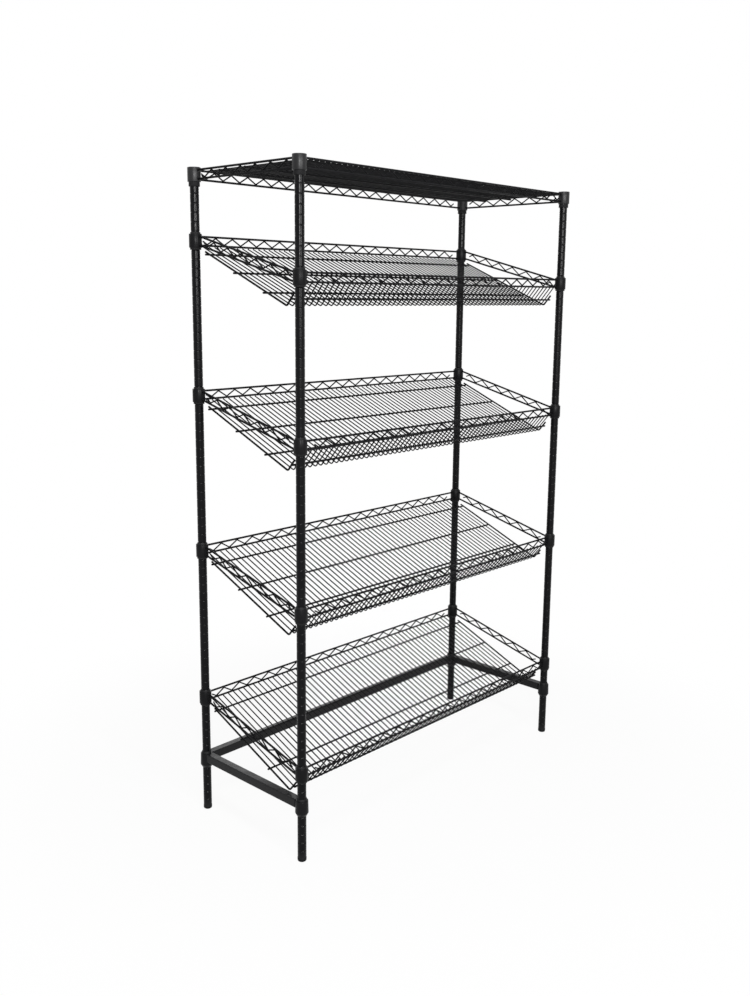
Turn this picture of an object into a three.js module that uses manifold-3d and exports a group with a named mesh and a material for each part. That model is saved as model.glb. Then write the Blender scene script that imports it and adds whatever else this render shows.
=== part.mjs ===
// Slanted bread display rack: four grooved posts, a flat wire shelf at the top, four slanted wire
// baskets below it and a base frame that is open at the front.
// Millimetres. X runs along the front, Y to the back and Z up. The origin is on the floor, midway
// between the posts.

import * as THREE from 'three';
import { mergeVertices } from 'three/addons/utils/BufferGeometryUtils.js';
import Module from 'manifold-3d';

const wasm = await Module();
wasm.setup();

// Posts
const postSpanX = 1194;           // centre to centre along the front
const postSpanY = 427;            // centre to centre from front to back
const postDiameter = 25;
const postWall = 1.3;
const groovePitch = 25.4;         // shelves are set in steps of one groove
const grooveDepth = 0.9;
const grooveHalfWidth = 1.6;
const baseGrooveHeight = 159.8;   // floor to the groove that carries the base frame
const postAboveTopGroove = 17.5;

// Steps down from the top groove to each basket's back corners, and from there to its front corners
const basketSteps = [7, 24, 42, 60];
const frontDropSteps = 4;
const baseSteps = 68;

// Feet and caps
const footHeight = 12;
const footEdge = 3;               // rounded lower edge
const plugLength = 25;
const capHeight = 2.5;
const capEdge = 1.5;

// Split sleeves that snap round a groove and wedge the collars, measured from the groove
const sleeveBelow = 24.5;
const sleeveAbove = 23.5;
const topSleeveBelow = 31.5;
const topSleeveAbove = 16.5;
const baseSleeveBelow = 10;
const baseSleeveAbove = 30;
const sleeveGrooveDiameter = 29.6;
const sleeveTaperShare = 0.06;    // loss of diameter as a share of the height
const sleeveSlit = 1;

// Collars
const collarDiameter = 36;
const collarHeight = 38;
const topCollarDiameter = 39;
const topCollarHeight = 39;
const baseCollarTopDiameter = 35.5;
const baseCollarDiameter = 38;
const baseCollarAbove = 23;       // above the base groove
const baseCollarBelow = 13;
const baseCollarTaper = 8.5;      // lower edge tapered in to the post
const baseCollarTipDiameter = 28.5;

// Trusses round each shelf: two rails with a zigzag wire between them
const railDiameter = 6;
const railOffset = 12;            // rail centres above and below the collar's middle
const zigzagDiameter = 4.2;
const zigzagPitch = 60.4;
const zigzagSetback = 25.7;       // from a post's centre to the wire's free end

// Decks
const fineDiameter = 3.8;
const fineWires = 57;
const crossDiameter = 5.6;
const sideInset = 8;              // from the posts' centre plane in to the side wire
const crossStub = 7;              // cross wire past the side wire
const bendSetback = 57.5;         // from the front posts' plane back to the bend
const bendDrop = 73;              // from the front collars' middle down to the bend
const firstCrossSetback = 40;     // from the back posts' plane
const crossSpacing = 121;
const slopeCrossWires = 3;
const lipCrossRise = 28;          // up the lip from the bend
const sideWireBackSetback = 33.5;
const sideWireLipRise = 42;
const backOverhang = 2;
const topSupports = 3;

// Base frame
const barSize = 25;
const barWall = 1.6;

// Fits
const gap = 0.3;
const weldDepth = 0.8;
const cutOverrun = 5;

// Facets
const roundSides = 8;
const railSides = 6;
const crossSides = 4;
const fineSides = 3;

const steel = { color: 0x141416, roughness: 0.42, metalness: 0.35 };
const castGrey = { color: 0x34363a, roughness: 0.6, metalness: 0.25 };
const plasticBlack = { color: 0x0d0d0e, roughness: 0.5, metalness: 0.0 };

const halfX = postSpanX / 2;
const halfY = postSpanY / 2;
const topGrooveHeight = baseGrooveHeight + baseSteps * groovePitch;
const postRadius = postDiameter / 2;
const boreRadius = postRadius - postWall;
const postTop = topGrooveHeight + postAboveTopGroove;

const corners = [
  { name: 'front_left', sideX: -1, sideY: -1 },
  { name: 'front_right', sideX: 1, sideY: -1 },
  { name: 'back_left', sideX: -1, sideY: 1 },
  { name: 'back_right', sideX: 1, sideY: 1 },
];

const heightAtStep = (steps) => topGrooveHeight - steps * groovePitch;

const levels = [
  { name: 'top', backHeight: topGrooveHeight, frontHeight: topGrooveHeight },
  ...basketSteps.map((steps, index) => ({
    name: `basket_${index + 1}`,
    backHeight: heightAtStep(steps),
    frontHeight: heightAtStep(steps + frontDropSteps),
  })),
  { name: 'base', backHeight: heightAtStep(baseSteps), frontHeight: heightAtStep(baseSteps) },
];

const cornerHeight = (level, corner) => (corner.sideY > 0 ? level.backHeight : level.frontHeight);

// A faceted section with the area of its round wire, and the flat side's distance from its middle
const sectionRadius = (diameter, sides) =>
  (diameter / 2) * Math.sqrt(Math.PI / ((sides / 2) * Math.sin((2 * Math.PI) / sides)));
const sectionFlat = (diameter, sides) => sectionRadius(diameter, sides) * Math.cos(Math.PI / sides);

const railRadius = sectionRadius(railDiameter, railSides);
const railFlat = sectionFlat(railDiameter, railSides);
const zigzagRadius = sectionRadius(zigzagDiameter, fineSides);
const fineRadius = sectionRadius(fineDiameter, fineSides);
const fineFlat = sectionFlat(fineDiameter, fineSides);
const crossRadius = sectionRadius(crossDiameter, crossSides);

// Solids

function toSolid(geometry) {
  const bare = geometry.index ? geometry.toNonIndexed() : geometry;
  for (const name of Object.keys(bare.attributes)) {
    if (name !== 'position') bare.deleteAttribute(name);
  }
  const merged = mergeVertices(bare);
  return new wasm.Manifold(new wasm.Mesh({
    numProp: 3,
    vertProperties: new Float32Array(merged.attributes.position.array),
    triVerts: new Uint32Array(merged.index.array),
  }));
}

function toMesh(name, solid, finish) {
  const result = solid.getMesh();
  const geometry = new THREE.BufferGeometry();
  geometry.setAttribute('position', new THREE.BufferAttribute(result.vertProperties, 3));
  geometry.setIndex(new THREE.BufferAttribute(result.triVerts, 1));
  geometry.computeVertexNormals();
  const material = new THREE.MeshStandardMaterial({ ...finish, flatShading: true });
  const mesh = new THREE.Mesh(geometry, material);
  mesh.name = name;
  return mesh;
}

// Turned about Z from [radius, height] pairs, with flats at the true radius facing X and Y
function turned(profile, closed) {
  const flatToCorner = 1 / Math.cos(Math.PI / roundSides);
  const points = profile.map(([radius, height]) => new THREE.Vector2(radius * flatToCorner, height));
  if (closed) points.push(points[0].clone());
  const geometry = new THREE.LatheGeometry(points, roundSides);
  geometry.rotateX(Math.PI / 2);
  geometry.rotateZ(Math.PI / roundSides);
  return toSolid(geometry);
}

// Wire swept along a polyline that lies in a plane, with mitred bends. The section's corners are
// [inPlane, acrossPlane] pairs.
function sweptWire(path, planeNormal, section) {
  const positions = [];
  const stations = path.map((point, index) => {
    const before = index > 0 ? point.clone().sub(path[index - 1]).normalize() : null;
    const after = index < path.length - 1 ? path[index + 1].clone().sub(point).normalize() : null;
    const along = (before ?? after).clone().add(after ?? before).normalize();
    const mitre = 1 / along.dot(after ?? before);
    const inPlane = new THREE.Vector3().crossVectors(planeNormal, along).multiplyScalar(mitre);
    return section.map(([inward, across]) => point.clone()
      .addScaledVector(inPlane, inward).addScaledVector(planeNormal, across));
  });
  const addTriangle = (a, b, c) => positions.push(...a.toArray(), ...b.toArray(), ...c.toArray());
  for (let i = 0; i + 1 < stations.length; i += 1) {
    for (let j = 0; j < section.length; j += 1) {
      const k = (j + 1) % section.length;
      addTriangle(stations[i][j], stations[i + 1][j], stations[i + 1][k]);
      addTriangle(stations[i][j], stations[i + 1][k], stations[i][k]);
    }
  }
  const first = stations[0];
  const last = stations[stations.length - 1];
  for (let j = 1; j + 1 < section.length; j += 1) {
    addTriangle(first[0], first[j], first[j + 1]);
    addTriangle(last[0], last[j + 1], last[j]);
  }
  const geometry = new THREE.BufferGeometry();
  geometry.setAttribute('position', new THREE.Float32BufferAttribute(positions, 3));
  return toSolid(geometry);
}

// Section corners of a wire, the first one at the given angle from the in-plane direction
function wireSection(radius, sides, startAngle) {
  return Array.from({ length: sides }, (_, index) => {
    const angle = startAngle - (2 * Math.PI * index) / sides;
    return [radius * Math.cos(angle), radius * Math.sin(angle)];
  });
}

const alongX = new THREE.Vector3(1, 0, 0);
const alongY = new THREE.Vector3(0, 1, 0);
const railSection = wireSection(railRadius, railSides, Math.PI / railSides);
const zigzagSection = wireSection(zigzagRadius, fineSides, Math.PI / 2);
const cornerDownSection = wireSection(fineRadius, fineSides, 0);   // on a path that runs to the front
const crossSection = wireSection(crossRadius, crossSides, 0);

// Posts, feet, caps and sleeves

function post(corner) {
  const outline = [[postRadius, footHeight]];
  const grooveHeights = levels.map((level) => cornerHeight(level, corner)).sort((a, b) => a - b);
  for (const height of grooveHeights) {
    outline.push([postRadius, height - grooveHalfWidth]);
    outline.push([postRadius - grooveDepth, height]);
    outline.push([postRadius, height + grooveHalfWidth]);
  }
  outline.push([postRadius, postTop], [boreRadius, postTop], [boreRadius, footHeight]);
  return turned(outline, true);
}

function foot() {
  const plugRadius = boreRadius - gap;
  return turned([
    [0, 0],
    [postRadius - footEdge, 0],
    [postRadius, footEdge],
    [postRadius, footHeight - gap],
    [plugRadius, footHeight - gap],
    [plugRadius, footHeight + plugLength],
    [0, footHeight + plugLength],
  ], false);
}

function cap() {
  const plugRadius = boreRadius - gap;
  return turned([
    [0, postTop - plugLength],
    [plugRadius, postTop - plugLength],
    [plugRadius, postTop + gap],
    [postRadius, postTop + gap],
    [postRadius, postTop + capHeight - capEdge],
    [postRadius - capEdge, postTop + capHeight],
    [0, postTop + capHeight],
  ], false);
}

const sleeveRadiusAt = (height) => (sleeveGrooveDiameter - sleeveTaperShare * height) / 2;

function sleeve(below, above) {
  const innerRadius = postRadius + gap;
  const ribRadius = innerRadius - grooveDepth;
  const ring = turned([
    [innerRadius, -below],
    [sleeveRadiusAt(-below), -below],
    [sleeveRadiusAt(above), above],
    [innerRadius, above],
    [innerRadius, grooveHalfWidth],
    [ribRadius, 0],
    [innerRadius, -grooveHalfWidth],
  ], true);
  const slit = new THREE.BoxGeometry(sleeveGrooveDiameter, sleeveSlit, 2 * (below + above));
  slit.translate(sleeveGrooveDiameter / 2, 0, 0);
  slit.rotateZ(Math.PI / roundSides);
  return ring.subtract(toSolid(slit));
}

// Shelf collar, with its bore tapered like the sleeve inside it
function collar(diameter, height) {
  const half = height / 2;
  return turned([
    [diameter / 2, -half],
    [diameter / 2, half],
    [sleeveRadiusAt(half) + gap, half],
    [sleeveRadiusAt(-half) + gap, -half],
  ], true);
}

// Shelf frames: four collars joined by a truss on each side

// One side of a frame. The zigzag begins with an apex on the lower rail, either at its setback from the
// first post or with equal free lengths at both ends.
function truss(start, end, planeNormal, setback, isCentred) {
  const along = end.clone().sub(start);
  const run = Math.hypot(along.x, along.y);
  const slopeFactor = Math.hypot(1, along.z / run);
  const level = (distance, height) => start.clone()
    .addScaledVector(along, distance / run).add(new THREE.Vector3(0, 0, height));
  const rails = [railOffset, -railOffset].map((height) =>
    sweptWire([level(0, height), level(run, height)], planeNormal, railSection));
  const halfPitch = zigzagPitch / 2 / slopeFactor;
  const apexes = Math.floor((run - 2 * setback) / halfPitch);
  const zigzagStart = isCentred ? (run - apexes * halfPitch) / 2 : setback;
  const bendAngle = Math.atan2(2 * railOffset - railDiameter - zigzagDiameter, zigzagPitch / 2);
  const reach = zigzagRadius * Math.cos(Math.PI / 6) / Math.cos(bendAngle);
  const wavePoints = [level(zigzagStart, 0)];
  for (let i = 0; i < apexes; i += 1) {
    const welded = i === 0 || i === apexes - 1;
    const clearance = (railFlat + reach + (welded ? -weldDepth : gap)) * slopeFactor;
    const side = i % 2 === 0 ? -1 : 1;
    wavePoints.push(level(zigzagStart + (i + 0.5) * halfPitch, side * (railOffset - clearance)));
  }
  wavePoints.push(level(zigzagStart + apexes * halfPitch, 0));
  return [...rails, sweptWire(wavePoints, planeNormal, zigzagSection)];
}

function shelfFrame(level) {
  const isTop = level.name === 'top';
  const radius = (isTop ? topCollarDiameter : collarDiameter) / 2;
  const height = isTop ? topCollarHeight : collarHeight;
  const collarSolid = collar(2 * radius, height);
  const collars = corners.map((corner) => collarSolid.translate([
    corner.sideX * halfX, corner.sideY * halfY, cornerHeight(level, corner)]));
  const face = radius - weldDepth;
  const endPoint = (sideX, sideY, inX, inY) => new THREE.Vector3(
    sideX * (halfX - inX), sideY * (halfY - inY), sideY > 0 ? level.backHeight : level.frontHeight);
  const setback = zigzagSetback - face;
  return wasm.Manifold.union([
    ...collars,
    ...truss(endPoint(-1, 1, face, 0), endPoint(1, 1, face, 0), alongY, setback, false),
    ...truss(endPoint(1, -1, face, 0), endPoint(-1, -1, face, 0), alongY, setback, false),
    ...truss(endPoint(-1, 1, 0, face), endPoint(-1, -1, 0, face), alongX, setback, true),
    ...truss(endPoint(1, -1, 0, face), endPoint(1, 1, 0, face), alongX, setback, true),
  ]);
}

// Decks

const sideX = halfX - sideInset;
const finePitch = (2 * sideX) / (fineWires + 1);
const fineWirePlaces = Array.from({ length: fineWires }, (_, index) => (index + 1) * finePitch - sideX);

// Basket deck: fine wires bent to a trough at the front, carried by cross wires under the slope and
// outside the lip. They pass under the back rail's edge and end on the inner side of the front rail.
function basketDeck(level) {
  const underRail = railOffset + railFlat + gap;
  const bend = new THREE.Vector2(bendSetback - halfY, level.frontHeight - bendDrop);
  const backRailEdge = new THREE.Vector2(halfY + railRadius / 2, level.backHeight - underRail);
  const frontRail = new THREE.Vector2(-halfY, level.frontHeight - railOffset);
  const besideRail = railRadius + gap + fineRadius;
  // From the bend past a point, below it or inside it at the given distance
  const directionPast = (point, distance) => {
    const toPoint = point.clone().sub(bend);
    const turn = -Math.asin(distance / toPoint.length());
    return toPoint.normalize().rotateAround(new THREE.Vector2(), turn);
  };
  const slopeUp = directionPast(backRailEdge, fineFlat);
  const slopeInward = new THREE.Vector2(-slopeUp.y, slopeUp.x);
  const lipUp = directionPast(frontRail, besideRail);
  const lipInward = new THREE.Vector2(lipUp.y, -lipUp.x);
  const bisector = slopeInward.clone().add(lipInward)
    .divideScalar(1 + slopeInward.dot(lipInward));

  const onSlope = (distance, inward) => bend.clone()
    .addScaledVector(slopeUp, distance).addScaledVector(slopeInward, inward);
  const onLip = (distance, inward) => bend.clone()
    .addScaledVector(lipUp, distance).addScaledVector(lipInward, inward);
  const atBend = (inward) => bend.clone().addScaledVector(bisector, inward);
  const atX = (x, point) => new THREE.Vector3(x, point.x, point.y);
  const slopeDistance = (backSetback) => (halfY - backSetback - bend.x) / slopeUp.x;

  const bentWire = (x, top, lip, inward, section) => sweptWire(
    [atX(x, onSlope(top, inward)), atX(x, atBend(inward)), atX(x, onLip(lip, inward))],
    alongX, section);
  const crossWire = (point, inward) => {
    const section = wireSection(crossRadius, crossSides, Math.atan2(-inward.x, inward.y));
    const end = sideX + crossStub;
    return sweptWire([atX(-end, point), atX(end, point)], alongY, section);
  };

  const wires = [];
  const lipLength = frontRail.clone().sub(bend).dot(lipUp);
  for (const x of fineWirePlaces) {
    wires.push(bentWire(x, slopeDistance(-backOverhang), lipLength, 0, cornerDownSection));
  }
  const weldedBelow = -(fineRadius + crossRadius - weldDepth);
  const clearBelow = -(fineRadius + crossRadius + gap);
  for (let i = 0; i < slopeCrossWires; i += 1) {
    const distance = slopeDistance(firstCrossSetback + i * crossSpacing);
    const isMiddle = i === Math.floor(slopeCrossWires / 2);
    wires.push(crossWire(onSlope(distance, isMiddle ? weldedBelow : clearBelow), slopeInward));
  }
  wires.push(crossWire(onLip(lipCrossRise, clearBelow), lipInward));
  const sideInward = crossRadius - fineRadius - gap - weldDepth;
  for (const x of [-sideX, sideX]) {
    wires.push(bentWire(x, slopeDistance(sideWireBackSetback), sideWireLipRise, sideInward, crossSection));
  }
  return wasm.Manifold.union(wires);
}

// Flat deck of the top shelf, level with the middle of its top rails. Every wire is welded to the middle
// support, and the two end wires sit deeper and are welded to all supports.
function topDeck(level) {
  const height = level.backHeight + railOffset - fineFlat;
  const endY = halfY - railRadius - gap;
  const wires = fineWirePlaces.map((x, index) => {
    const isEnd = index === 0 || index === fineWires - 1;
    const z = isEnd ? height - gap - weldDepth : height;
    return sweptWire([new THREE.Vector3(x, endY, z), new THREE.Vector3(x, -endY, z)],
      alongX, cornerDownSection);
  });
  const supportSpacing = postSpanY / (topSupports + 1);
  const supportEnd = halfX - zigzagRadius - gap;
  for (let i = 0; i < topSupports; i += 1) {
    const y = (i + 1) * supportSpacing - halfY;
    const isMiddle = i === Math.floor(topSupports / 2);
    const z = height - fineRadius - crossRadius + (isMiddle ? weldDepth : -gap);
    wires.push(sweptWire([new THREE.Vector3(-supportEnd, y, z), new THREE.Vector3(supportEnd, y, z)],
      alongY, crossSection));
  }
  return wasm.Manifold.union(wires);
}

// Base frame: square tubes coped to the base collars

const baseHeight = heightAtStep(baseSteps);
const barHeight = baseHeight + baseCollarAbove - barSize / 2;

// Collar that closes in on the post below its sleeve
function baseCollar() {
  const seat = -baseSleeveBelow - gap;
  const tip = -baseCollarBelow - baseCollarTaper;
  return turned([
    [baseCollarTipDiameter / 2, tip],
    [baseCollarDiameter / 2, -baseCollarBelow],
    [baseCollarTopDiameter / 2, baseCollarAbove],
    [sleeveRadiusAt(baseCollarAbove) + gap, baseCollarAbove],
    [sleeveRadiusAt(seat) + gap, seat],
    [postRadius + gap, seat],
    [postRadius + gap, tip],
  ], true);
}

function squareTube(length, isAlongX) {
  const hollow = barSize - 2 * barWall;
  const open = length + 2 * cutOverrun;
  const box = (size, reach) => (isAlongX
    ? new THREE.BoxGeometry(reach, size, size)
    : new THREE.BoxGeometry(size, reach, size));
  return toSolid(box(barSize, length)).subtract(toSolid(box(hollow, open)));
}

function bar(x, y, isAlongX) {
  const length = isAlongX ? postSpanX : postSpanY;
  const reach = baseCollarDiameter / 2 + gap;
  const cope = turned([[0, -barSize], [reach, -barSize], [reach, barSize], [0, barSize]], false);
  const halfLength = length / 2;
  const end = isAlongX ? [halfLength, 0, 0] : [0, halfLength, 0];
  return squareTube(length, isAlongX)
    .subtract(cope.translate(end))
    .subtract(cope.translate(end.map((value) => -value)))
    .translate([x, y, barHeight]);
}

// The whole rack

const rack = new THREE.Group();

const footSolid = foot();
const capSolid = cap();
const sleeveSolids = {
  top: sleeve(topSleeveBelow, topSleeveAbove),
  basket: sleeve(sleeveBelow, sleeveAbove),
  base: sleeve(baseSleeveBelow, baseSleeveAbove),
};
const baseCollarSolid = baseCollar();

for (const corner of corners) {
  const place = [corner.sideX * halfX, corner.sideY * halfY, 0];
  rack.add(toMesh(`post_${corner.name}`, post(corner).translate(place), steel));
  rack.add(toMesh(`foot_${corner.name}`, footSolid.translate(place), plasticBlack));
  rack.add(toMesh(`post_cap_${corner.name}`, capSolid.translate(place), plasticBlack));
  for (const level of levels) {
    const seat = [place[0], place[1], cornerHeight(level, corner)];
    const outward = corner.sideX > 0 ? 0 : 180;
    const sleeveSolid = sleeveSolids[level.name] ?? sleeveSolids.basket;
    rack.add(toMesh(
      `${level.name}_sleeve_${corner.name}`,
      sleeveSolid.rotate([0, 0, outward]).translate(seat),
      plasticBlack,
    ));
  }
  rack.add(toMesh(
    `base_collar_${corner.name}`,
    baseCollarSolid.translate([place[0], place[1], baseHeight]),
    castGrey,
  ));
}

for (const level of levels.filter((each) => each.name !== 'base')) {
  const isTop = level.name === 'top';
  rack.add(toMesh(`${level.name}_frame`, shelfFrame(level), steel));
  rack.add(toMesh(`${level.name}_deck`, isTop ? topDeck(level) : basketDeck(level), steel));
}

rack.add(toMesh('base_bar_left', bar(-halfX, 0, false), castGrey));
rack.add(toMesh('base_bar_right', bar(halfX, 0, false), castGrey));
rack.add(toMesh('base_bar_back', bar(0, halfY, true), castGrey));

export default rack;
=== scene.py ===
import math

import bpy
from mathutils import Matrix, Vector


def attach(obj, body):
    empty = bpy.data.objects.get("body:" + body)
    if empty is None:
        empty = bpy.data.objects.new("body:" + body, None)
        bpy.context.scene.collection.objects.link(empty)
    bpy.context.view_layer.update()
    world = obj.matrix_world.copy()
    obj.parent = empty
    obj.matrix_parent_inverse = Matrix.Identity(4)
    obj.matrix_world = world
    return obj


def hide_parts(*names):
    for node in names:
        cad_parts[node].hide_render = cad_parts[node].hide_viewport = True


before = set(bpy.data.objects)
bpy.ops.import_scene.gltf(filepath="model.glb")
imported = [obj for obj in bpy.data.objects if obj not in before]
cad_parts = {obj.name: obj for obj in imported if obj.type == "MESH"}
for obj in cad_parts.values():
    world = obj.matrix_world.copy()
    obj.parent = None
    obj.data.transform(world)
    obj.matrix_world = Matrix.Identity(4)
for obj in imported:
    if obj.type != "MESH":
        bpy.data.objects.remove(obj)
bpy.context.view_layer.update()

# Bread display rack. Sizes are in millimetres and become metres when a mesh is made.
MM = 0.001

# Posts
POST_SPAN_X = 1194
POST_SPAN_Y = 427
HALF_X = POST_SPAN_X / 2
HALF_Y = POST_SPAN_Y / 2
POST_RADIUS = 12.5
BORE_RADIUS = 11.2
POST_TOP = 1904.5
GROOVE_PITCH = 25.4
GROOVE_DEPTH = 0.9
GROOVE_HALF = 1.7
GROOVE_FLANK = 0.9
GROOVE_SHOULDER = 2.6
TOP_GROOVE = 1887

# Feet and caps. Their rounded edges are pairs of an inset from the outer radius and a height.
PLUG_RADIUS = BORE_RADIUS - 0.1
PLUG_LENGTH = 20
FOOT_RADIUS = POST_RADIUS + 0.4
FOOT_HEIGHT = 12
FOOT_LOWER_EDGE = ((4, 0), (2.2, 0.4), (0.9, 1.4), (0.2, 3), (0, 5))
FOOT_UPPER_EDGE = ((0, -0.8), (0.5, -0.1))
FOOT_SEAT_INSET = 0.6
FOOT_SEAT_RISE = 0.1
CAP_EDGE = ((0, 0.1), (0, 0.8), (0.7, 1.6), (2.5, 2.1), (6, 2.4))
CAP_TOP = 1907

# Sleeves: how far each kind reaches below and above its groove
SLEEVE_SPANS = {"top": (31.5, 16.5), "basket": (24.5, 23.5), "base": (10, 30)}
SLEEVE_RADIUS = 14.8
SLEEVE_TAPER = 0.03
SLEEVE_CLEARANCE = 0.05
SLEEVE_EDGE = 0.5
SLEEVE_SPLIT = 0.04
SLEEVE_TURN = math.radians(35)

# Collars. The base collar's outline is a list of radii and heights from its groove.
COLLAR_RADIUS = 18
COLLAR_HEIGHT = 38
TOP_COLLAR_RADIUS = 18.5
TOP_COLLAR_HEIGHT = 39
COLLAR_EDGE = 1.0
COLLAR_EDGE_SHARE = 0.3
COLLAR_CLEARANCE = 0.1
BASE_COLLAR_ABOVE = 23
BASE_COLLAR_BELOW = 21.5
BASE_COLLAR_SEAT = -10.3
BASE_COLLAR_OUTLINE = (
    (13.6, -BASE_COLLAR_BELOW), (14.3, -21.4), (14.7, -20.8), (18.4, -13.9), (18.85, -13.2),
    (19, -12.2), (17.9, BASE_COLLAR_ABOVE - 1.2), (17.6, BASE_COLLAR_ABOVE - 0.3),
    (16.9, BASE_COLLAR_ABOVE),
)

# Base bars
BAR_SIZE = 25
BAR_EDGE = 2.2
BAR_EDGE_STEPS = 4
BAR_INSET = 16.6

# Trusses
RAIL_RADIUS = 3
RAIL_OFFSET = 12
RAIL_SINK = 1.0
RAIL_BEVEL = 0.05
RAIL_BEAD_SETBACK = 1.1
RAIL_BEAD = (2.2, RAIL_RADIUS + 0.9)
ZIGZAG_RADIUS = 2.1
ZIGZAG_APEX = 8.6
ZIGZAG_PITCH = 60.4
ZIGZAG_SETBACK = 25.7
ZIGZAG_BEND_RADIUS = 2.4
ZIGZAG_BEND_LOSS = 0.3
ZIGZAG_BEND_STEPS = 3
APEX_BEAD = (3.0, 1.3)

# Decks
FINE_RADIUS = 1.9
FINE_WIRES = 57
FINE_PAST_BACK = 2
HEAVY_RADIUS = 2.8
WELD_SINK = 0.3
SIDE_X = HALF_X - 8
CROSS_END = SIDE_X + 4
BEND_SETBACK = 57.5
BEND_DROP = 73
BEND_RADIUS = 7
BEND_STEPS = 6
CROSS_SETBACKS = (40, 161, 282)
LIP_CROSS_RISE = 28
SIDE_BACK_SETBACK = 33.5
SIDE_LIP_RISE = 42
TOP_SUPPORTS = 3
TOP_WIRE_SINK = 0.2
TOP_WIRE_BEVEL = 0.1

# Sides of what is round, and the bevel of a wire's ends
POST_SIDES = 32
HALF_SLEEVE_SIDES = 20
COLLAR_SIDES = 40
RAIL_SIDES = 12
ZIGZAG_SIDES = 10
FINE_SIDES = 8
BEAD_SIDES = 8
BEAD_ROWS = 5
WIRE_BEVEL = 0.35

# Levels, counted in grooves from the top one
BASKET_STEPS = (7, 24, 42, 60)
FRONT_DROP_STEPS = 4
BASE_STEPS = 68

CORNERS = {
    "front_left": (-1, -1),
    "front_right": (1, -1),
    "back_left": (-1, 1),
    "back_right": (1, 1),
}


def height_at(steps):
    return TOP_GROOVE - steps * GROOVE_PITCH


LEVELS = {"top": (TOP_GROOVE, TOP_GROOVE)}
for number, basket_steps in enumerate(BASKET_STEPS, start=1):
    LEVELS[f"basket_{number}"] = (height_at(basket_steps),
                                  height_at(basket_steps + FRONT_DROP_STEPS))
LEVELS["base"] = (height_at(BASE_STEPS), height_at(BASE_STEPS))


def band(low, high, count):
    """Quads between two rings of points, given by the index of each ring's first point."""
    return [[low + j, low + (j + 1) % count, high + (j + 1) % count, high + j]
            for j in range(count)]


class Shape:
    """Vertices and faces of one mesh, in millimetres."""

    def __init__(self):
        self.points = []
        self.faces = []

    def add(self, points, faces):
        start = len(self.points)
        self.points.extend(points)
        self.faces.extend([start + index for index in face] for face in faces)

    def rings(self, rings, closed=False, capped=True):
        """Join rings of equal length into a skin, ring by ring."""
        count = len(rings[0])
        points = [point for ring in rings for point in ring]
        faces = []
        for i in range(len(rings) if closed else len(rings) - 1):
            faces += band(i * count, ((i + 1) % len(rings)) * count, count)
        if capped and not closed:
            faces.append(list(reversed(range(count))))
            faces.append([len(points) - count + j for j in range(count)])
        self.add(points, faces)

    def pointed(self, first, rings, last):
        """Join rings of equal length, with a single point at either end."""
        count = len(rings[0])
        points = [first, *(point for ring in rings for point in ring), last]
        faces = [[0, 1 + (j + 1) % count, 1 + j] for j in range(count)]
        for i in range(len(rings) - 1):
            faces += band(1 + i * count, 1 + (i + 1) * count, count)
        top = 1 + (len(rings) - 1) * count
        faces += [[top + j, top + (j + 1) % count, len(points) - 1] for j in range(count)]
        self.add(points, faces)

    def tube(self, path, radius, sides, bevel=WIRE_BEVEL):
        """Round wire along a path, with slightly bevelled ends."""
        path = [Vector(point) for point in path]
        first = (path[1] - path[0]).normalized()
        last = (path[-1] - path[-2]).normalized()
        path = [path[0], path[0] + first * bevel] + path[1:-1] + [path[-1] - last * bevel, path[-1]]
        radii = [radius - bevel] + [radius] * (len(path) - 2) + [radius - bevel]
        side = first.orthogonal().normalized()
        previous = first
        rings = []
        for i, point in enumerate(path):
            before = path[i] - path[i - 1] if i else path[1] - path[0]
            after = path[i + 1] - path[i] if i + 1 < len(path) else before
            along = (before.normalized() + after.normalized()).normalized()
            side = previous.rotation_difference(along) @ side
            side = (side - along * side.dot(along)).normalized()
            previous = along
            across = along.cross(side)
            rings.append([
                point + radii[i] * (math.cos(angle) * side + math.sin(angle) * across)
                for angle in (2 * math.pi * j / sides for j in range(sides))
            ])
        self.rings(rings)

    def turned(self, profile, centre, sides, start=0.0, sweep=2 * math.pi):
        """Turn a closed profile of (radius, height) pairs about Z, fully or over part of a turn."""
        whole = sweep == 2 * math.pi
        centre = Vector(centre)
        rings = []
        for i in range(sides if whole else sides + 1):
            angle = start + sweep * i / sides
            direction = Vector((math.cos(angle), math.sin(angle), 0))
            rings.append([centre + direction * radius + Vector((0, 0, height))
                          for radius, height in reversed(profile)])
        self.rings(rings, closed=whole, capped=not whole)

    def domed(self, outline, centre, sides):
        """Turn an outline that starts and ends on the axis about Z."""
        centre = Vector(centre)
        turns = [2 * math.pi * j / sides for j in range(sides)]
        rings = [[centre + Vector((radius * math.cos(turn), radius * math.sin(turn), height))
                  for turn in turns] for radius, height in outline[1:-1]]
        self.pointed(centre + Vector((0, 0, outline[0][1])), rings,
                     centre + Vector((0, 0, outline[-1][1])))

    def bead(self, centre, along, half_size, sides=BEAD_SIDES):
        """Flattened blob of weld metal, longer along one direction."""
        centre = Vector(centre)
        along = Vector(along).normalized()
        side = along.orthogonal().normalized()
        across = along.cross(side)
        length, width = half_size
        turns = [2 * math.pi * j / sides for j in range(sides)]
        rings = []
        for i in range(1, BEAD_ROWS):
            row = math.pi * i / BEAD_ROWS
            middle = centre - along * length * math.cos(row)
            rings.append([middle + (side * math.cos(turn) + across * math.sin(turn))
                          * width * math.sin(row) for turn in turns])
        self.pointed(centre - along * length, rings, centre + along * length)


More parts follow.
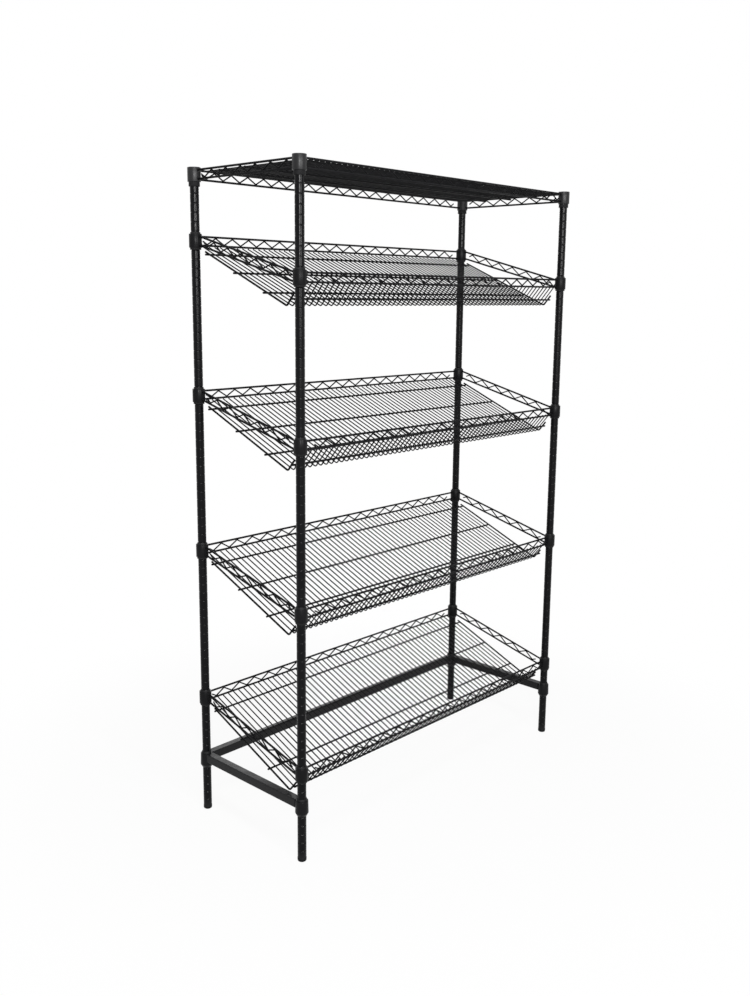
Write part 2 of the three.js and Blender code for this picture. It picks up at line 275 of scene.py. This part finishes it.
def rounded(path, radius, steps):
    """Replace the inner corners of a path by arcs, which take up less than half of each leg."""
    leg_share = 0.45
    path = [Vector(point) for point in path]
    result = [path[0]]
    for before, corner, after in zip(path, path[1:], path[2:]):
        back = (before - corner).normalized()
        ahead = (after - corner).normalized()
        half_turn = (math.pi - back.angle(ahead)) / 2
        shorter = min((before - corner).length, (after - corner).length)
        reach = min(radius * math.tan(half_turn), leg_share * shorter)
        bend = reach / math.tan(half_turn)
        middle = corner + (back + ahead).normalized() * math.hypot(bend, reach)
        start = corner + back * reach - middle
        end = corner + ahead * reach - middle
        for i in range(steps + 1):
            result.append(middle + start.slerp(end, i / steps).normalized() * bend)
    result.append(path[-1])
    return result


# Materials. Noise scales are per metre, and a range is from its low value to its high one.
CLOUD_SCALE, CLOUD_DETAIL, CLOUD_RANGE = 9.0, 3.0, (0.35, 0.7)
SMUDGE_SCALE, SMUDGE_DETAIL, SMUDGE_RANGE = 38.0, 4.0, (0.3, 0.7)
GRAIN_DETAIL, GRAIN_HEIGHT = 2.0, 0.0002
LIGHTER_SHARE = 0.7
GLOSSIER, DULLER = 0.05, 0.08
EDGE_RANGE = (0.53, 0.62)
WORN_SHARE, WORN_GAIN, WORN_LIFT = 0.35, 2.2, 0.02


def coated(name, base, lighter, roughness, bump, grain, specular):
    """Powder coat or moulded plastic: fine grain, uneven gloss and a little rubbed edge."""
    material = bpy.data.materials.new(name)
    material.use_nodes = True
    nodes, links = material.node_tree.nodes, material.node_tree.links
    nodes.clear()
    output = nodes.new("ShaderNodeOutputMaterial")
    shader = nodes.new("ShaderNodeBsdfPrincipled")
    shader.inputs["Specular IOR Level"].default_value = specular
    place = nodes.new("ShaderNodeTexCoord")

    def noise(scale, detail):
        node = nodes.new("ShaderNodeTexNoise")
        node.inputs["Scale"].default_value = scale
        node.inputs["Detail"].default_value = detail
        links.new(place.outputs["Object"], node.inputs["Vector"])
        return node.outputs["Fac"]

    def spread(source, source_range, low, high):
        node = nodes.new("ShaderNodeMapRange")
        node.inputs["From Min"].default_value, node.inputs["From Max"].default_value = source_range
        node.inputs["To Min"].default_value = low
        node.inputs["To Max"].default_value = high
        links.new(source, node.inputs["Value"])
        return node.outputs["Result"]

    tint = nodes.new("ShaderNodeMix")
    tint.data_type = "RGBA"
    tint.inputs["A"].default_value = (*base, 1)
    tint.inputs["B"].default_value = (*lighter, 1)
    links.new(spread(noise(CLOUD_SCALE, CLOUD_DETAIL), CLOUD_RANGE, 0.0, LIGHTER_SHARE),
              tint.inputs["Factor"])

    geometry = nodes.new("ShaderNodeNewGeometry")
    worn = nodes.new("ShaderNodeMix")
    worn.data_type = "RGBA"
    links.new(spread(geometry.outputs["Pointiness"], EDGE_RANGE, 0.0, WORN_SHARE),
              worn.inputs["Factor"])
    links.new(tint.outputs["Result"], worn.inputs["A"])
    worn.inputs["B"].default_value = (*[WORN_GAIN * value + WORN_LIFT for value in lighter], 1)
    links.new(worn.outputs["Result"], shader.inputs["Base Color"])

    links.new(spread(noise(SMUDGE_SCALE, SMUDGE_DETAIL), SMUDGE_RANGE,
                     roughness - GLOSSIER, roughness + DULLER), shader.inputs["Roughness"])

    relief = nodes.new("ShaderNodeBump")
    relief.inputs["Strength"].default_value = bump
    relief.inputs["Distance"].default_value = GRAIN_HEIGHT
    links.new(noise(grain, GRAIN_DETAIL), relief.inputs["Height"])
    links.new(relief.outputs["Normal"], shader.inputs["Normal"])
    links.new(shader.outputs["BSDF"], output.inputs["Surface"])
    return material


WIRE_COAT = coated(
    "black_wire_coat", base=(0.002, 0.002, 0.0025), lighter=(0.004, 0.004, 0.0045),
    roughness=0.40, bump=0.12, grain=1400, specular=0.03)
POST_COAT = coated(
    "black_post_coat", base=(0.001, 0.001, 0.0015), lighter=(0.003, 0.003, 0.0035),
    roughness=0.24, bump=0.03, grain=1600, specular=0.12)
# All collars have one finish. The basket collars' coat below is a duller copy of it, painted shade
# for the lower collars. The top collars' coat is a lighter and glossier copy, painted sheen where
# light falls from above.
COLLAR_COAT = coated(
    "black_collar_coat", base=(0.002, 0.002, 0.0025), lighter=(0.004, 0.004, 0.0045),
    roughness=0.34, bump=0.1, grain=900, specular=0.09)
TOP_COLLAR_PAINTED_SHEEN_COAT = coated(
    "black_collar_coat_painted_sheen", base=(0.003, 0.003, 0.0035), lighter=(0.008, 0.008, 0.0085),
    roughness=0.36, bump=0.1, grain=900, specular=0.3)
GREY_COAT = coated(
    "grey_frame_coat", base=(0.002, 0.002, 0.0025), lighter=(0.005, 0.005, 0.0055),
    roughness=0.34, bump=0.05, grain=1100, specular=0.13)
PLASTIC = coated(
    "black_moulding", base=(0.003, 0.003, 0.0035), lighter=(0.007, 0.007, 0.0075),
    roughness=0.5, bump=0.15, grain=1200, specular=0.1)

SMOOTH_ANGLE = math.radians(52)


def piece(name, shapes, body, node):
    """Make one object from (shape, material) pairs, in place of a CAD node."""
    points = []
    faces = []
    indices = []
    for number, (shape, _) in enumerate(shapes):
        start = len(points)
        points.extend(point * MM for point in shape.points)
        faces.extend([start + index for index in face] for face in shape.faces)
        indices.extend([number] * len(shape.faces))
    mesh = bpy.data.meshes.new(name)
    mesh.from_pydata(points, [], faces)
    for _, material in shapes:
        mesh.materials.append(material)
    mesh.polygons.foreach_set("material_index", indices)
    mesh.polygons.foreach_set("use_smooth", [True] * len(faces))
    mesh.set_sharp_from_angle(angle=SMOOTH_ANGLE)
    mesh.update()
    made = bpy.data.objects.new(name, mesh)
    bpy.context.scene.collection.objects.link(made)
    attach(made, body)
    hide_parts(node)


# Posts, feet, caps, sleeves and base collars

def sleeve_radius(height):
    return SLEEVE_RADIUS - SLEEVE_TAPER * height


def post_shape(x, y):
    groove = ((-GROOVE_SHOULDER, 0), (-GROOVE_HALF, 0), (-GROOVE_FLANK, GROOVE_DEPTH / 2),
              (0, GROOVE_DEPTH), (GROOVE_FLANK, GROOVE_DEPTH / 2), (GROOVE_HALF, 0),
              (GROOVE_SHOULDER, 0))
    outline = [(POST_RADIUS, FOOT_HEIGHT)]
    lowest = int((TOP_GROOVE - FOOT_HEIGHT - GROOVE_SHOULDER) / GROOVE_PITCH)
    for step in range(lowest, -1, -1):
        outline += [(POST_RADIUS - depth, height_at(step) + offset) for offset, depth in groove]
    outline += [(POST_RADIUS, POST_TOP), (BORE_RADIUS, POST_TOP), (BORE_RADIUS, FOOT_HEIGHT)]
    shape = Shape()
    shape.turned(outline, (x, y, 0), POST_SIDES)
    return shape


def foot_shape(x, y):
    outline = [(0, 0)]
    outline += [(FOOT_RADIUS - inset, height) for inset, height in FOOT_LOWER_EDGE]
    outline += [(FOOT_RADIUS - inset, FOOT_HEIGHT + height) for inset, height in FOOT_UPPER_EDGE]
    outline += [(POST_RADIUS - FOOT_SEAT_INSET, FOOT_HEIGHT),
                (PLUG_RADIUS, FOOT_HEIGHT + FOOT_SEAT_RISE),
                (PLUG_RADIUS, FOOT_HEIGHT + PLUG_LENGTH), (0, FOOT_HEIGHT + PLUG_LENGTH)]
    shape = Shape()
    shape.domed(outline, (x, y, 0), POST_SIDES)
    return shape


def cap_shape(x, y):
    outline = [(0, POST_TOP - PLUG_LENGTH), (PLUG_RADIUS, POST_TOP - PLUG_LENGTH),
               (PLUG_RADIUS, POST_TOP)]
    outline += [(POST_RADIUS - inset, POST_TOP + height) for inset, height in CAP_EDGE]
    outline.append((0, CAP_TOP))
    shape = Shape()
    shape.domed(outline, (x, y, 0), POST_SIDES)
    return shape


def sleeve_shape(x, y, height, kind):
    below, above = SLEEVE_SPANS[kind]
    inner = POST_RADIUS + SLEEVE_CLEARANCE
    profile = [(inner, -below), (sleeve_radius(-below) - SLEEVE_EDGE, -below),
               (sleeve_radius(-below + SLEEVE_EDGE), -below + SLEEVE_EDGE),
               (sleeve_radius(above - SLEEVE_EDGE), above - SLEEVE_EDGE),
               (sleeve_radius(above) - SLEEVE_EDGE, above),
               (inner, above), (inner, GROOVE_HALF), (inner - GROOVE_DEPTH, 0),
               (inner, -GROOVE_HALF)]
    shape = Shape()
    for half in (0, math.pi):
        shape.turned(profile, (x, y, height), HALF_SLEEVE_SIDES,
                     SLEEVE_TURN + half + SLEEVE_SPLIT / 2, math.pi - SLEEVE_SPLIT)
    return shape


def base_collar_shape(x, y, height):
    inner = POST_RADIUS + COLLAR_CLEARANCE
    profile = list(BASE_COLLAR_OUTLINE)
    profile += [(sleeve_radius(level) + COLLAR_CLEARANCE, level)
                for level in (BASE_COLLAR_ABOVE, BASE_COLLAR_SEAT)]
    profile += [(inner, BASE_COLLAR_SEAT), (inner, -BASE_COLLAR_BELOW)]
    shape = Shape()
    shape.turned(profile, (x, y, height), COLLAR_SIDES)
    return shape


for corner, (side_x, side_y) in CORNERS.items():
    x, y = side_x * HALF_X, side_y * HALF_Y
    piece(f"round_post_{corner}", [(post_shape(x, y), POST_COAT)],
          "rack", f"post_{corner}")
    piece(f"round_foot_{corner}", [(foot_shape(x, y), PLASTIC)],
          "rack", f"foot_{corner}")
    piece(f"round_cap_{corner}", [(cap_shape(x, y), PLASTIC)],
          "rack", f"post_cap_{corner}")
    for level, (back, front) in LEVELS.items():
        kind = level if level in SLEEVE_SPANS else "basket"
        piece(f"split_{level}_sleeve_{corner}",
              [(sleeve_shape(x, y, back if side_y > 0 else front, kind), PLASTIC)],
              "rack", f"{level}_sleeve_{corner}")
    piece(f"round_base_collar_{corner}",
          [(base_collar_shape(x, y, LEVELS["base"][0]), GREY_COAT)],
          "rack", f"base_collar_{corner}")


# Base bars: square tubes with rounded edges, ending in the collars' walls

def bar_shape(start, end):
    start, end = Vector(start), Vector(end)
    up = Vector((0, 0, 1))
    side = up.cross((end - start).normalized())
    section = []
    for quarter, signs in enumerate(((1, 1), (-1, 1), (-1, -1), (1, -1))):
        corner = Vector(signs) * (BAR_SIZE / 2 - BAR_EDGE)
        turn = math.pi / 2 * quarter
        before = Vector((math.cos(turn), math.sin(turn)))
        after = Vector((-before.y, before.x))
        section.append(corner + before * BAR_EDGE - after * BAR_EDGE)
        for i in range(BAR_EDGE_STEPS + 1):
            angle = math.pi / 2 / BAR_EDGE_STEPS * i
            section.append(corner + (before * math.cos(angle) + after * math.sin(angle)) * BAR_EDGE)
        section.append(corner + after * BAR_EDGE - before * BAR_EDGE)
    shape = Shape()
    shape.rings([[point + side * a + up * b for a, b in section] for point in (start, end)])
    return shape


bar_z = LEVELS["base"][0] + BASE_COLLAR_ABOVE - BAR_SIZE / 2
bar_x, bar_y = HALF_X - BAR_INSET, HALF_Y - BAR_INSET
for name, start, end in (
    ("left", (-HALF_X, -bar_y, bar_z), (-HALF_X, bar_y, bar_z)),
    ("right", (HALF_X, -bar_y, bar_z), (HALF_X, bar_y, bar_z)),
    ("back", (-bar_x, HALF_Y, bar_z), (bar_x, HALF_Y, bar_z)),
):
    piece(f"square_bar_{name}", [(bar_shape(start, end), GREY_COAT)],
          "rack", f"base_bar_{name}")


# Shelf frames

def truss(shape, start, end, setback, centred):
    """Two rails and the zigzag between them, from one collar's face to the next."""
    start, end = Vector(start), Vector(end)
    run = Vector((end.x - start.x, end.y - start.y, 0)).length
    along = (end - start) / run
    slope = along.length

    def at(distance, height):
        return start + along * distance + Vector((0, 0, height))

    for offset in (RAIL_OFFSET, -RAIL_OFFSET):
        shape.tube([at(0, offset), at(run, offset)], RAIL_RADIUS, RAIL_SIDES, bevel=RAIL_BEVEL)
        for distance in (RAIL_BEAD_SETBACK, run - RAIL_BEAD_SETBACK):
            shape.bead(at(distance, offset), along, RAIL_BEAD, sides=RAIL_SIDES)
    half_pitch = ZIGZAG_PITCH / 2 / slope
    apexes = int((run - 2 * setback) / half_pitch)
    first = (run - apexes * half_pitch) / 2 if centred else setback
    peak = RAIL_OFFSET - (RAIL_OFFSET - ZIGZAG_APEX) * slope
    wave = [at(first, 0)]
    for i in range(apexes):
        side = -1 if i % 2 == 0 else 1
        distance = first + (i + 0.5) * half_pitch
        wave.append(at(distance, side * (peak + ZIGZAG_BEND_LOSS)))
        shape.bead(at(distance, side * (RAIL_OFFSET - RAIL_RADIUS)), along, APEX_BEAD)
    wave.append(at(first + apexes * half_pitch, 0))
    shape.tube(rounded(wave, ZIGZAG_BEND_RADIUS, ZIGZAG_BEND_STEPS), ZIGZAG_RADIUS, ZIGZAG_SIDES)


def frame_shapes(level, back, front):
    is_top = level == "top"
    radius = TOP_COLLAR_RADIUS if is_top else COLLAR_RADIUS
    half = (TOP_COLLAR_HEIGHT if is_top else COLLAR_HEIGHT) / 2
    eased = COLLAR_EDGE_SHARE * COLLAR_EDGE
    profile = [(radius - COLLAR_EDGE, -half), (radius - eased, -half + eased),
               (radius, -half + COLLAR_EDGE), (radius, half - COLLAR_EDGE),
               (radius - eased, half - eased), (radius - COLLAR_EDGE, half),
               (sleeve_radius(half) + COLLAR_CLEARANCE, half),
               (sleeve_radius(-half) + COLLAR_CLEARANCE, -half)]
    collars = Shape()
    for side_x, side_y in CORNERS.values():
        height = back if side_y > 0 else front
        collars.turned(profile, (side_x * HALF_X, side_y * HALF_Y, height), COLLAR_SIDES)
    face = radius - RAIL_SINK
    setback = ZIGZAG_SETBACK - face
    wires = Shape()

    def end_point(side_x, side_y, in_x, in_y):
        height = back if side_y > 0 else front
        return (side_x * (HALF_X - in_x), side_y * (HALF_Y - in_y), height)

    truss(wires, end_point(-1, 1, face, 0), end_point(1, 1, face, 0), setback, False)
    truss(wires, end_point(1, -1, face, 0), end_point(-1, -1, face, 0), setback, False)
    truss(wires, end_point(-1, 1, 0, face), end_point(-1, -1, 0, face), setback, True)
    truss(wires, end_point(1, -1, 0, face), end_point(1, 1, 0, face), setback, True)
    # The top collars get the lighter coat with painted sheen, the basket collars the duller coat
    # with painted shade.
    return [(wires, WIRE_COAT), (collars, TOP_COLLAR_PAINTED_SHEEN_COAT if is_top else COLLAR_COAT)]


# Decks

FINE_PITCH = 2 * SIDE_X / (FINE_WIRES + 1)
FINE_PLACES = [(i + 1) * FINE_PITCH - SIDE_X for i in range(FINE_WIRES)]


def basket_deck_shape(back, front):
    """Wires bent in a V, which pass under the back rail and end behind the front one.

    A point of a side view is (y, z). Distances run up from the bend, along the slope or the lip.
    """
    bend = Vector((-HALF_Y + BEND_SETBACK, front - BEND_DROP))
    front_rail = Vector((-HALF_Y, front - RAIL_OFFSET))

    def passing(rail):
        to_rail = rail - bend
        turn = -math.asin((RAIL_RADIUS + FINE_RADIUS - WELD_SINK) / to_rail.length)
        return Matrix.Rotation(turn, 2) @ to_rail.normalized()

    slope_up = passing(Vector((HALF_Y, back - RAIL_OFFSET)))
    lip_up = passing(front_rail)
    slope_in = Vector((-slope_up.y, slope_up.x))
    lip_in = Vector((lip_up.y, -lip_up.x))
    bisector = (slope_in + lip_in) / (1 + slope_in.dot(lip_in))

    def on_slope(distance, inward):
        return bend + slope_up * distance + slope_in * inward

    def on_lip(distance, inward):
        return bend + lip_up * distance + lip_in * inward

    def slope_distance(back_setback):
        return (HALF_Y - back_setback - bend.x) / slope_up.x

    def bent(x, top, lip, inward):
        points = (on_slope(top, inward), bend + bisector * inward, on_lip(lip, inward))
        return rounded([(x, point.x, point.y) for point in points], BEND_RADIUS, BEND_STEPS)

    shape = Shape()
    lip_length = (front_rail - bend).dot(lip_up)
    for x in FINE_PLACES:
        shape.tube(bent(x, slope_distance(-FINE_PAST_BACK), lip_length, 0), FINE_RADIUS, FINE_SIDES)
    below = -(FINE_RADIUS + HEAVY_RADIUS - WELD_SINK)
    crosses = [on_slope(slope_distance(setback), below) for setback in CROSS_SETBACKS]
    crosses.append(on_lip(LIP_CROSS_RISE, below))
    for point in crosses:
        shape.tube([(-CROSS_END, point.x, point.y), (CROSS_END, point.x, point.y)],
                   HEAVY_RADIUS, RAIL_SIDES)
    side_inward = below + 2 * HEAVY_RADIUS - WELD_SINK
    for x in (-SIDE_X, SIDE_X):
        shape.tube(bent(x, slope_distance(SIDE_BACK_SETBACK), SIDE_LIP_RISE, side_inward),
                   HEAVY_RADIUS, RAIL_SIDES)
    return shape


def top_deck_shape(back):
    height = back + RAIL_OFFSET - FINE_RADIUS
    end_y = HALF_Y - RAIL_RADIUS + TOP_WIRE_SINK
    shape = Shape()
    for x in FINE_PLACES:
        shape.tube([(x, end_y, height), (x, -end_y, height)], FINE_RADIUS, FINE_SIDES,
                   bevel=TOP_WIRE_BEVEL)
    z = height - FINE_RADIUS - HEAVY_RADIUS + WELD_SINK
    end_x = HALF_X - ZIGZAG_RADIUS
    for i in range(TOP_SUPPORTS):
        y = (i + 1) * POST_SPAN_Y / (TOP_SUPPORTS + 1) - HALF_Y
        shape.tube([(-end_x, y, z), (end_x, y, z)], HEAVY_RADIUS, RAIL_SIDES)
    return shape


for level, (back, front) in LEVELS.items():
    if level == "base":
        continue
    body = f"{level}_shelf"
    piece(f"{level}_truss_ring", frame_shapes(level, back, front),
          body, f"{level}_frame")
    deck = top_deck_shape(back) if level == "top" else basket_deck_shape(back, front)
    piece(f"{level}_wire_deck", [(deck, WIRE_COAT)], body, f"{level}_deck")


# Camera, at the photograph's viewpoint. From here on, places and sizes are in metres.

CAMERA_PLACE = (-2.3639, -2.1225, 1.5658)
YAW = math.radians(46.814)
PITCH = math.radians(10.385)
ROLL = math.radians(0.503)

camera_data = bpy.data.cameras.new("camera")
camera_data.lens = 36.438
camera_data.sensor_width = 36
camera_data.shift_x = 0.0046
camera_data.shift_y = -0.01875
camera_data.clip_end = 100
camera = bpy.data.objects.new("camera", camera_data)
forward = Vector((math.sin(YAW) * math.cos(PITCH), math.cos(YAW) * math.cos(PITCH),
                  -math.sin(PITCH)))
right = Vector((math.cos(YAW), -math.sin(YAW), 0))
up = right.cross(forward)
rolled_right = right * math.cos(ROLL) + up * math.sin(ROLL)
rolled_up = up * math.cos(ROLL) - right * math.sin(ROLL)
axes = Matrix((rolled_right, rolled_up, -forward)).transposed().to_4x4()
camera.matrix_world = Matrix.Translation(CAMERA_PLACE) @ axes
bpy.context.scene.collection.objects.link(camera)
bpy.context.scene.camera = camera


# Floor, world and lights

FLOOR_HALF = 30
FLOOR_COLOUR = (0.8, 0.8, 0.8, 1)
WHITE = (1, 1, 1, 1)
AMBIENT = 0.25

# Round the rack the floor shows its own shade a little. That ends between these distances.
SHADE_START, SHADE_END = 0.7, 1.7
WHITE_NEAR_RACK = 0.93

# Name, place, target, size and power in watts
LAMPS = (
    ("key", (-3.3, -3.5, 2.2), (-0.3, -0.1, 1.6), (0.5, 1.1), 130),
    ("side", (-1.1, -4.4, 2.2), (0.2, 0, 1.5), (0.4, 1.2), 80),
    ("top", (-1.7, -1.8, 4.2), (-0.2, 0, 0.8), (1.2, 0.9), 80),
    ("rim", (2.7, 3.2, 2.25), (-0.4, 0, 0.2), (2.2, 1.1), 24),
)

bpy.context.scene.view_settings.view_transform = "Standard"


def background_rays(nodes, links):
    """1 for the rays that show the background: camera, glossy and transmission rays."""
    path = nodes.new("ShaderNodeLightPath")
    shown = path.outputs["Is Camera Ray"]
    for name in ("Is Glossy Ray", "Is Transmission Ray"):
        either = nodes.new("ShaderNodeMath")
        either.operation = "MAXIMUM"
        links.new(shown, either.inputs[0])
        links.new(path.outputs[name], either.inputs[1])
        shown = either.outputs["Value"]
    return shown


def white_floor():
    """Matte floor that turns to plain white away from the rack, for the background's rays."""
    edge = FLOOR_HALF
    mesh = bpy.data.meshes.new("floor")
    mesh.from_pydata([(-edge, -edge, 0), (edge, -edge, 0), (edge, edge, 0), (-edge, edge, 0)],
                     [], [(0, 1, 2, 3)])
    floor = bpy.data.objects.new("floor", mesh)
    bpy.context.scene.collection.objects.link(floor)
    material = bpy.data.materials.new("pale_floor")
    material.use_nodes = True
    nodes, links = material.node_tree.nodes, material.node_tree.links
    nodes.clear()
    output = nodes.new("ShaderNodeOutputMaterial")
    matte = nodes.new("ShaderNodeBsdfDiffuse")
    matte.inputs["Color"].default_value = FLOOR_COLOUR
    glow = nodes.new("ShaderNodeEmission")
    place = nodes.new("ShaderNodeTexCoord")
    distance = nodes.new("ShaderNodeVectorMath")
    distance.operation = "LENGTH"
    fade = nodes.new("ShaderNodeMapRange")
    fade.interpolation_type = "SMOOTHSTEP"
    fade.inputs["From Min"].default_value = SHADE_START
    fade.inputs["From Max"].default_value = SHADE_END
    fade.inputs["To Min"].default_value = WHITE_NEAR_RACK
    seen = nodes.new("ShaderNodeMath")
    seen.operation = "MULTIPLY"
    mix = nodes.new("ShaderNodeMixShader")
    links.new(place.outputs["Object"], distance.inputs[0])
    links.new(distance.outputs["Value"], fade.inputs["Value"])
    links.new(fade.outputs["Result"], seen.inputs[0])
    links.new(background_rays(nodes, links), seen.inputs[1])
    links.new(seen.outputs["Value"], mix.inputs["Fac"])
    links.new(matte.outputs["BSDF"], mix.inputs[1])
    links.new(glow.outputs["Emission"], mix.inputs[2])
    links.new(mix.outputs["Shader"], output.inputs["Surface"])
    mesh.materials.append(material)


def white_world():
    """Dim even light, which the background's rays see as plain white."""
    world = bpy.data.worlds.new("studio")
    bpy.context.scene.world = world
    world.use_nodes = True
    nodes, links = world.node_tree.nodes, world.node_tree.links
    nodes.clear()
    output = nodes.new("ShaderNodeOutputWorld")
    ambient = nodes.new("ShaderNodeBackground")
    ambient.inputs["Color"].default_value = WHITE
    ambient.inputs["Strength"].default_value = AMBIENT
    white = nodes.new("ShaderNodeBackground")
    white.inputs["Color"].default_value = WHITE
    mix = nodes.new("ShaderNodeMixShader")
    links.new(background_rays(nodes, links), mix.inputs["Fac"])
    links.new(ambient.outputs["Background"], mix.inputs[1])
    links.new(white.outputs["Background"], mix.inputs[2])
    links.new(mix.outputs["Shader"], output.inputs["Surface"])


def area_light(name, place, target, size, power):
    data = bpy.data.lights.new(name, "AREA")
    data.shape = "RECTANGLE"
    data.size, data.size_y = size
    data.energy = power
    lamp = bpy.data.objects.new(name, data)
    lamp.location = place
    lamp.rotation_euler = (Vector(target) - Vector(place)).to_track_quat("-Z", "Y").to_euler()
    bpy.context.scene.collection.objects.link(lamp)


white_floor()
white_world()
for lamp_values in LAMPS:
    area_light(*lamp_values)
